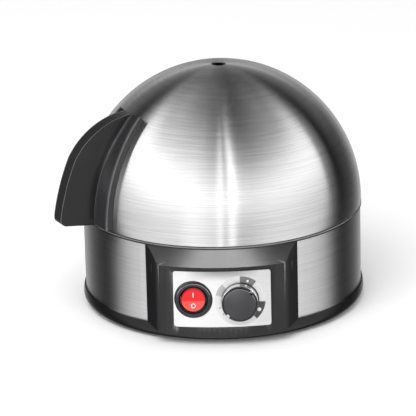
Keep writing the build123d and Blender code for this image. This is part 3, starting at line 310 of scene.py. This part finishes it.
def mixed(mask, first, second):
    """The first colour where the mask is 0, the second where it is 1.

    A Mix node takes its two colours at sockets 6 and 7 and gives theirs at 2."""
    inputs = {"Factor": mask, 6: first, 7: second}
    return mask.node("ShaderNodeMix", {"data_type": "RGBA"}, inputs, output=2)


def tinted(colour, share):
    return tuple(share * part for part in colour) + (1,)


def moulded(name, colour, roughness, grain_pitch=0.35 * mm, grain_depth=0.012 * mm, gloss=0.5):
    """Moulded plastic: a fine eroded grain from the tool and a sheen that varies a little."""
    finish, place, shader = new_finish(name, Specular_IOR_Level=gloss)
    clouds_per_metre = 45.0
    cloud_share = 0.6
    darker, paler = 0.82, 1.22
    sheen_change = 0.1
    grain = noise(place, 1 / grain_pitch, detail=3.0)
    clouds = noise(place, clouds_per_metre, detail=2.0)
    mottle = clouds * cloud_share + grain * (1 - cloud_share)
    shade = mixed(mottle, tinted(colour, darker), tinted(colour, paler))
    sheen = roughness + (clouds - 0.5) * sheen_change
    feed(shader, Base_Color=shade, Roughness=sheen, Normal=bump(grain, grain_depth))
    return finish


def satin(name):
    """The black of the mouldings, from a tool with a very fine grain."""
    return moulded(name, (0.0045, 0.0045, 0.005), roughness=0.24, grain_depth=0.002 * mm, gloss=0.3)


merge_distance = 0.002 * mm
flat_angle = radians(0.4)
bodies = {node: body for body, nodes in frame["record"]["behaviour"]["bodies"].items() for node in nodes}


def fitted_copy(node, name, finish, corner=0.25 * mm, sharp=28):
    """The node's own form as a finished piece: one skin, its corners rounded, its curves smooth."""
    form = bmesh.new()
    form.from_mesh(frame["nodes"][node].data)
    bmesh.ops.remove_doubles(form, verts=form.verts, dist=merge_distance)
    bmesh.ops.dissolve_limit(form, angle_limit=flat_angle, verts=form.verts, edges=form.edges)
    mesh = bpy.data.meshes.new(name)
    form.to_mesh(mesh)
    form.free()
    mesh.shade_smooth()
    mesh.set_sharp_from_angle(angle=radians(sharp))
    mesh.materials.append(finish)
    piece = bpy.data.objects.new(name, mesh)
    bpy.context.scene.collection.objects.link(piece)
    if corner:
        rounding = piece.modifiers.new("rounding", "BEVEL")
        rounding.width = corner
        rounding.segments = 3
        rounding.limit_method = "ANGLE"
        rounding.angle_limit = radians(sharp)
        rounding.harden_normals = True
    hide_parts(node)
    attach(piece, bodies[node])
    return piece


satin_black = satin("satin_black")
mouldings.objects.link(fitted_copy("bottom_tray", "tray", satin_black))

# The feet: four soft black rubber mouldings, each held by a stem that is pushed through a hole in the
# tray's floor.
foot_rubber = moulded("foot_rubber", (0.018, 0.018, 0.018), roughness=0.7, grain_pitch=0.6 * mm)
fitted_copy("rubber_feet", "feet", foot_rubber)

# The housing: a black moulded tube whose top ring carries the dome and whose pocket holds the plate. The
# ring's rounded upper edge, just under the groove that the lid leaves, has a painted highlight.
groove_height = 0.7 * mm
lip_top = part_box("lid_dome")[0].z - groove_height
lip_inner = 88.9 * mm
# The painted highlight on the ring's edge: the heights where it fades in and where it stops, and its
# strength.
ring_highlight_low, ring_highlight_high = lip_top - 0.5 * mm, lip_top - 0.2 * mm
ring_highlight_end = lip_top + 0.1 * mm
least_ring_highlight, uneven_ring_highlight = 0.25, 0.6
painted_highlight_grey = (0.2, 0.2, 0.205, 1)


def distance(*parts):
    """The length of the vector that has these parts."""
    return parts[0].work("SQRT", sum(part * part for part in parts))


def satin_with_painted_highlight(name, painted_highlight):
    """The mouldings' black, with a painted grey highlight where the given function of the place says so."""
    finish = satin(name)
    shader = finish.node_tree.nodes["Principled BSDF"]
    black = Shade(finish.node_tree, shader.inputs["Base Color"].links[0].from_socket)
    place = black.node("ShaderNodeTexCoord", output="Object")
    feed(shader, Base_Color=mixed(painted_highlight(place), black, painted_highlight_grey))
    return finish


def ring_painted_highlight(place):
    """A painted highlight along the top ring's outer edge, stronger in some places than in others."""
    x, y, z = place.parts()
    near_edge = between(z, ring_highlight_low, ring_highlight_high, "SMOOTHSTEP")
    on_lip = (z < ring_highlight_end) * (distance(x, y) > lip_inner)
    patches_per_metre = 40.0
    patches = noise(place, patches_per_metre, detail=2.0)
    return near_edge * on_lip * (least_ring_highlight + patches * uneven_ring_highlight)


housing_black = satin_with_painted_highlight("housing_black", ring_painted_highlight)
mouldings.objects.link(fitted_copy("base_housing", "housing", housing_black))


# The band: stainless strip rolled round the housing, its two ends tucked behind the control panel. It is
# brushed lengthways, so its scratches run round the object.
def brushed(name, colour, roughness, anisotropy, wall_radius, centre_height=None):
    """Stainless sheet brushed round the axis: short scratches that run with the turn of the belt.

    On a dome, which has a centre height, they are counted along its arc, and otherwise along the height."""
    finish, place, shader = new_finish(name, Metallic=1.0, Anisotropic=anisotropy, Anisotropic_Rotation=0.25)
    x, y, z = place.parts()
    reach = distance(x, y)
    round_x, round_y = x / reach, y / reach
    along = z
    if centre_height is not None:
        along = place.work("ARCTAN2", z - centre_height, reach) * wall_radius

    def scratches(length, width, detail):
        """Noise drawn out round the axis, the same all the way round, with no seam."""
        turns = wall_radius / length
        drawn_out = {"X": round_x * turns, "Y": round_y * turns, "Z": along / width}
        return noise(place.node("ShaderNodeCombineXYZ", inputs=drawn_out), scale=1.0, detail=detail)

    broad_share, fine_share = 0.5, 0.8
    darker, paler = 0.72, 1.28
    sheen_change = 0.06
    brush_depth = 0.0007 * mm
    broad = scratches(length=110 * mm, width=0.42 * mm, detail=2.0)
    fine = scratches(length=35 * mm, width=0.24 * mm, detail=1.0)
    mark = broad * broad_share + fine * fine_share - (broad_share + fine_share - 1) / 2
    shade = mixed(mark, tinted(colour, darker), tinted(colour, paler))
    sheen = roughness + (mark - 0.5) * sheen_change
    feed(shader, Base_Color=shade, Roughness=sheen, Normal=bump(mark, brush_depth))
    return finish


band_steel = brushed("band_steel", (0.62, 0.62, 0.62), roughness=0.30, anisotropy=1.0, wall_radius=89 * mm)
fitted_copy("steel_band", "band", band_steel, corner=0.1 * mm)

# The cord bush: a soft black rubber moulding, pressed into a hole in the back wall, where the supply
# cord comes in.
bush_rubber = moulded("bush_rubber", (0.03, 0.03, 0.03), roughness=0.6)
fitted_copy("cord_bush", "bush", bush_rubber, corner=0.4 * mm)

# The heating plate: a dish with a bowl for the water, drawn from stainless sheet and brushed on a lathe.
# It lies in the housing's pocket and is pulled down on its gasket from below.
dish_steel = brushed("dish_steel", (0.62, 0.62, 0.62), roughness=0.36, anisotropy=0.6, wall_radius=77 * mm)
fitted_copy("heating_plate", "dish", dish_steel, corner=0)

# The control panel: a black moulded cover with angled sides, snapped into the housing's window. The lower
# edge of its sloped top strip stays crisp.
panel_cover = fitted_copy("fascia", "panel_cover", satin_black, corner=0.5 * mm)
mouldings.objects.link(panel_cover)
strip_bottom = 50.4 * mm
edge_reach = 0.25 * mm
for edge in panel_cover.data.edges:
    heights = [panel_cover.data.vertices[corner].co.z for corner in edge.vertices]
    if max(abs(height - strip_bottom) for height in heights) < edge_reach:
        edge.use_edge_sharp = True

# The panel's plate: thin satin sheet, bent and brushed from side to side and set in the cover's recess.
# Round the dial it is printed with a pale ring that carries grey and dark stretches and a few dots, which
# mark the cooking stages.
panel_lean = radians(4.5)
dial_x, dial_z = 11.2 * mm, 28.9 * mm
ring_inner, ring_outer = 11.75 * mm, 15.7 * mm
# Inside the ring, round the knob, the sheet is painted nearly black: a painted shadow of the gap under the
# knob.
ring_shade, painted_gap_shadow = 0.74, 0.008
scratches_per_metre = (60, 60, 5000)
scratch_depth = 0.003 * mm
sheet_shade, scratch_shade = 0.80, 0.16
sheet_roughness, scratch_roughness, ink_roughness = 0.3, 0.12, 0.1
# Painted shade near the plate's top: the heights over which it grows, its half width, its share at the sides,
# its strength.
painted_shade_low, painted_shade_high = 12 * mm, 19.5 * mm
painted_shade_half_width = 24 * mm
painted_shade_least, painted_shade_most = 0.1, 0.6

# A stretch has its two ends, in degrees clockwise from the ring's top, and its shade. A dot has its place
# on the ring in such degrees, its radius and its shade.
ring_stretches = ((0, 40, 0.19), (95, 140, 0.055), (-75, -46, 0.48))
dot_orbit = 13.3 * mm
ring_dots = (
    (21, 0.8 * mm, 0.9),
    (118, 1.2 * mm, 0.9),
    (-108, 0.6 * mm, 0.35),
    (-128, 0.5 * mm, 0.35),
)


def grey_shade(tone):
    """A grey whose level varies."""
    return tone.node("ShaderNodeCombineColor", inputs={"Red": tone, "Green": tone, "Blue": tone})


def plate_finish():
    """Satin sheet with fine straight scratches, painted shade near its top and round the knob, and printed
    marks.
    """
    finish, place, shader = new_finish("panel_satin")
    x, _, z = place.parts()
    drawn_out = place.node("ShaderNodeMapping", inputs={"Vector": place, "Scale": scratches_per_metre})
    scratch = noise(drawn_out, scale=1.0, detail=3.0)

    across = x - dial_x
    up = (z - dial_z) / cos(panel_lean)
    from_dial = distance(across, up)
    clockwise = place.work("ARCTAN2", across, up) * degrees(1)
    # The disc inside the ring takes the painted shadow round the knob.
    in_painted_gap_shadow = from_dial < ring_inner
    in_ring = (from_dial > ring_inner) * (from_dial < ring_outer)
    ink = in_ring * ring_shade
    for start, end, tone in ring_stretches:
        stretch = in_ring * (clockwise > start) * (clockwise < end)
        ink = ink * (1 - stretch) + stretch * tone
    for angle, radius, tone in ring_dots:
        dot_across = across - dot_orbit * sin(radians(angle))
        dot_up = up - dot_orbit * cos(radians(angle))
        dot = distance(dot_across, dot_up) < radius
        ink = ink * (1 - dot) + dot * tone

    # Painted shade: the sheet is darker near its top, most in the middle.
    near_top = between(up, painted_shade_low, painted_shade_high, "SMOOTHSTEP")
    aside = x / painted_shade_half_width
    painted_top_shade = near_top * place.work("MAXIMUM", 1 - aside * aside, painted_shade_least) * painted_shade_most
    sheet = (sheet_shade + scratch * scratch_shade) * (1 - painted_top_shade)
    shade = grey_shade(sheet * (1 - in_ring) * (1 - in_painted_gap_shadow) + ink + in_painted_gap_shadow * painted_gap_shadow)
    sheen = sheet_roughness + scratch * scratch_roughness + in_ring * ink_roughness
    metal = 1 - in_ring - in_painted_gap_shadow
    feed(shader, Base_Color=shade, Metallic=metal, Roughness=sheen, Normal=bump(scratch, scratch_depth))
    return finish


fitted_copy("panel_plate", "plate", plate_finish(), corner=0.08 * mm)

# The switch: a round body with a dished bezel, and a red rocker that tilts in it. The rocker is moulded
# in clear red plastic and carries a white bar for on and a white ring for off.
gloss_black = moulded("gloss_black", (0.006, 0.006, 0.007), roughness=0.2, grain_depth=0.002 * mm, gloss=0.35)
mouldings.objects.link(fitted_copy("switch_housing", "switch_body", gloss_black, corner=0.3 * mm))
rocker_x, rocker_z = -17.8 * mm, 30.0 * mm
rocker_lean = radians(14.5)
bar_rise, bar_height, bar_width = 3.8 * mm, 3.1 * mm, 0.55 * mm
ring_drop, ring_middle, ring_stroke = 2.9 * mm, 1.25 * mm, 0.5 * mm
mark_height = 0.03 * mm
half_low, half_high, half_blur = -0.3 * mm, 1.1 * mm, 0.8 * mm
clear_reach, rim_reach = 6.6 * mm, 8.2 * mm
# The lower half's paler red is painted light, and the rim's dark red is painted shadow.
painted_lit_red = (0.80, 0.075, 0.065, 1)
deep_red = (0.72, 0.008, 0.010, 1)
painted_shadow_red = (0.16, 0.0, 0.002, 1)
mark_white = (0.92, 0.80, 0.78, 1)


def rocker_finish():
    """Red plastic, with painted light on its raised lower half, painted shadow at its rim, and two white
    marks.
    """
    finish, place, shader = new_finish("rocker_red", Roughness=0.24, Specular_IOR_Level=0.35)
    x, _, z = place.parts()
    across = x - rocker_x
    up = (z - rocker_z) / cos(rocker_lean)
    clouds_per_metre = 400.0
    clouds = noise(place, clouds_per_metre, detail=2.0)
    # Painted light on the lower half, painted shadow at the rim.
    upper_half = between(up + clouds * half_blur, half_low, half_high, "SMOOTHSTEP")
    near_rim = between(distance(across, up), clear_reach, rim_reach, "SMOOTHSTEP")
    red = mixed(near_rim, mixed(upper_half, painted_lit_red, deep_red), painted_shadow_red)
    bar = (abs(across) < bar_width / 2) * (abs(up - bar_rise) < bar_height / 2)
    ring = abs(distance(across, up + ring_drop) - ring_middle) < ring_stroke / 2
    marks = place.work("MAXIMUM", bar, ring)
    feed(shader, Base_Color=mixed(marks, red, mark_white), Normal=bump(marks, mark_height))
    return finish


fitted_copy("switch_rocker", "rocker", rocker_finish(), corner=0.35 * mm)

# The knob: a graphite moulded cap, pushed on the control's spindle. A drawn and plated sleeve sits tight
# round it, and its front rim is dark and unplated.
knob_graphite = moulded(
    "knob_graphite", (0.006, 0.006, 0.007), roughness=0.30, grain_depth=0.005 * mm, gloss=0.35
)
mouldings.objects.link(fitted_copy("knob", "dial_knob", knob_graphite, corner=0.3 * mm))
sleeve_front = -101.6 * mm
plating_shade, rub_shade, unplated_rim_shade = 0.72, 0.2, 0.012
plating_roughness, rub_roughness = 0.14, 0.1


def plated_finish():
    """Bright plating that is a little uneven, and dark and unplated at the front rim."""
    finish, place, shader = new_finish("plated", Anisotropic=0.4)
    _, y, z = place.parts()
    plated = y * cos(panel_lean) - (z - dial_z) * sin(panel_lean) > sleeve_front
    rubs_per_metre = 900.0
    rub = noise(place, rubs_per_metre, detail=2.0)
    shade = grey_shade(plated * (plating_shade + rub * rub_shade) + (1 - plated) * unplated_rim_shade)
    feed(shader, Base_Color=shade, Metallic=plated, Roughness=plating_roughness + rub * rub_roughness)
    return finish


fitted_copy("knob_sleeve", "dial_sleeve", plated_finish(), corner=0.1 * mm)

# The egg rack: a black moulded tray with seven collared holes and two finger grips. It stands loose on
# the heating plate, above the water.
rack_black = moulded("rack_black", (0.02, 0.02, 0.021), roughness=0.5)
fitted_copy("egg_rack", "rack_tray", rack_black)

# The dome: a hemisphere drawn from one stainless sheet and brushed round its axis, with a short
# straight rim whose edge is trimmed and deburred, and a steam hole punched in its crown.
lid_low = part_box("lid_dome")[0]
dome_radius = 89.5 * mm
dome_wall = 0.8 * mm
rim_straight = 2.2 * mm
edge_round = 0.3 * mm
steam_hole_radius = 4.45 * mm
dome_centre = lid_low.z + rim_straight
dome_inner = dome_radius - dome_wall
dome_rings, dome_turns, edge_steps = 60, 256, 4
crease_angle = radians(50)


def lathe(name, outline, turns, finish):
    """Spins a closed outline of radius and height round the axis into one smooth closed skin."""
    form = bmesh.new()
    corners = [form.verts.new((radius, 0, height)) for radius, height in outline]
    sides = [form.edges.new(pair) for pair in zip(corners, corners[1:] + corners[:1])]
    bmesh.ops.spin(
        form, geom=corners + sides, cent=(0, 0, 0), axis=(0, 0, 1), angle=2 * pi, steps=turns, use_merge=True
    )
    bmesh.ops.remove_doubles(form, verts=form.verts, dist=merge_distance)
    bmesh.ops.recalc_face_normals(form, faces=form.faces)
    mesh = bpy.data.meshes.new(name)
    form.to_mesh(mesh)
    form.free()
    mesh.shade_smooth()
    mesh.set_sharp_from_angle(angle=crease_angle)
    mesh.materials.append(finish)
    piece = bpy.data.objects.new(name, mesh)
    bpy.context.scene.collection.objects.link(piece)
    return piece


def arc(centre_radius, centre_height, radius, start, end, steps):
    """Points of an arc in an outline, angles in radians from the outward direction."""
    angles = [start + (end - start) * step / steps for step in range(steps + 1)]
    return [(centre_radius + radius * cos(angle), centre_height + radius * sin(angle)) for angle in angles]


hole_outer = atan2(sqrt(dome_radius**2 - steam_hole_radius**2), steam_hole_radius)
hole_inner = atan2(sqrt(dome_inner**2 - steam_hole_radius**2), steam_hole_radius)
dome_outline = (
    arc(0, dome_centre, dome_radius, 0, hole_outer, dome_rings)
    + arc(0, dome_centre, dome_inner, hole_inner, 0, dome_rings)
    + arc(dome_inner + edge_round, lid_low.z + edge_round, edge_round, pi, 1.5 * pi, edge_steps)
    + arc(dome_radius - edge_round, lid_low.z + edge_round, edge_round, -0.5 * pi, 0, edge_steps)
)
dome_steel = brushed(
    "dome_steel",
    (0.67, 0.67, 0.67),
    roughness=0.245,
    anisotropy=1.0,
    wall_radius=dome_radius,
    centre_height=dome_centre,
)
dome = lathe("dome", dome_outline, dome_turns, dome_steel)
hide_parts("lid_dome")
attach(dome, "lid")

# The lid's handle: a black moulding screwed to the dome. A fin stands on a foot with a shallow valley on
# each side of it, and painted highlights run along the long edges of both. The foot's angle is in degrees.
handle_azimuth = radians(209)
foot_outer = 94.1 * mm
foot_half_angle = 11.8
ridge_start, ridge_end = foot_half_angle - 1.3, foot_half_angle - 0.1
fin_half = 5.0 * mm
fin_start = foot_outer + 0.6 * mm
fin_edge_width = 0.6 * mm
land_start, land_end = fin_half + 0.25 * mm, 5.6 * mm
land_depth = 0.3 * mm
ridge_depth = 0.5 * mm
# The painted highlights: the height up to which the lands' highlight grows, and the strength of each.
highlight_height = 60 * mm
fin_edge_highlight, ridge_highlight = 0.42, 0.24
lowest_land_highlight, highest_land_highlight = 0.05, 0.5
fin_face_paling, valley_paling = 0.04, 0.05
handle_least_highlight, handle_uneven_highlight = 0.35, 1.3


def handle_painted_highlights(place):
    """Painted highlights on the fin's outer edges, the lands beside it and the foot's ridges; the rest
    faintly paler.
    """
    x, y, z = place.parts()
    facing_x, facing_y, _ = place.node("ShaderNodeNewGeometry", output="True Normal").parts()
    outward = x * cos(handle_azimuth) + y * sin(handle_azimuth)
    aside = abs(y * cos(handle_azimuth) - x * sin(handle_azimuth))
    faces_aside = abs(facing_y * cos(handle_azimuth) - facing_x * sin(handle_azimuth))
    angle_aside = place.work("ARCTAN2", aside, outward) * degrees(1)
    height = z - dome_centre
    from_centre = distance(x, y, height)

    fin_face = (from_centre > fin_start) * (faces_aside < 0.5)
    fin_edge = fin_face * (aside > fin_half - fin_edge_width)
    land = (abs(from_centre - foot_outer) < land_depth) * (aside > land_start) * (aside < land_end)
    near_ridge = between(angle_aside, ridge_start, ridge_end, "SMOOTHSTEP")
    ridge = near_ridge * (from_centre > foot_outer - ridge_depth)
    valley = (from_centre < fin_start) * (aside > land_end)
    land_highlight = lowest_land_highlight + between(height, 0, highlight_height) * (highest_land_highlight - lowest_land_highlight)
    edges = fin_edge * fin_edge_highlight + land * land_highlight + ridge * ridge_highlight
    patches_per_metre = 60.0
    patches = noise(place, patches_per_metre, detail=2.0)
    uneven = handle_least_highlight + patches * handle_uneven_highlight
    return edges * uneven + fin_face * fin_face_paling + valley * valley_paling


handle_black = satin_with_painted_highlight("handle_black", handle_painted_highlights)
mouldings.objects.link(fitted_copy("lid_handle", "handle", handle_black, corner=0.4 * mm))

# The fasteners that show when the lid is off or the object is turned over: zinc-plated steel screws and
# washers, which hold the handle to the dome and the tray to the housing.
zinc = brushed("zinc", (0.55, 0.55, 0.56), roughness=0.35, anisotropy=0.0, wall_radius=20 * mm)
for node in ("handle_washers", "handle_screws", "tray_screws"):
    fitted_copy(node, node + "_finished", zinc, corner=0.2 * mm)

# The works inside: gasket, heating element, nuts, straps, switches and circuit board, which the pieces
# round them hide. Each keeps its form and gets the finish of its material.
inner_finishes = {
    "plate_gasket": moulded("pale_silicone", (0.75, 0.75, 0.72), roughness=0.5),
    "heating_element": moulded("tinted_tube", (0.22, 0.20, 0.19), roughness=0.4),
    "element_tabs": zinc,
    "plate_stud": zinc,
    "stud_spacer": zinc,
    "stud_nuts": zinc,
    "clamp_bridge": zinc,
    "cutout_clip": zinc,
    "fuse_clip": zinc,
    "switch_terminals": zinc,
    "board_screws": zinc,
    "rotary_control": zinc,
    "thermal_cutout": moulded("brown_resin", (0.10, 0.055, 0.035), roughness=0.5),
    "thermal_fuse": moulded("woven_sleeve", (0.70, 0.69, 0.64), roughness=0.7, grain_pitch=0.8 * mm),
    "control_spindle": moulded("pale_spindle", (0.76, 0.75, 0.70), roughness=0.4),
    "control_board": moulded("glass_fibre", (0.05, 0.22, 0.10), roughness=0.35),
    "relay": moulded("case_black", (0.04, 0.04, 0.045), roughness=0.4),
    "buzzer": moulded("buzzer_black", (0.04, 0.04, 0.04), roughness=0.45),
    "capacitor": moulded("case_yellow", (0.70, 0.52, 0.09), roughness=0.35),
    "terminal_block": moulded("pale_block", (0.78, 0.78, 0.74), roughness=0.45),
}
for node, finish in inner_finishes.items():
    mesh = frame["nodes"][node].data
    mesh.materials.clear()
    mesh.materials.append(finish)
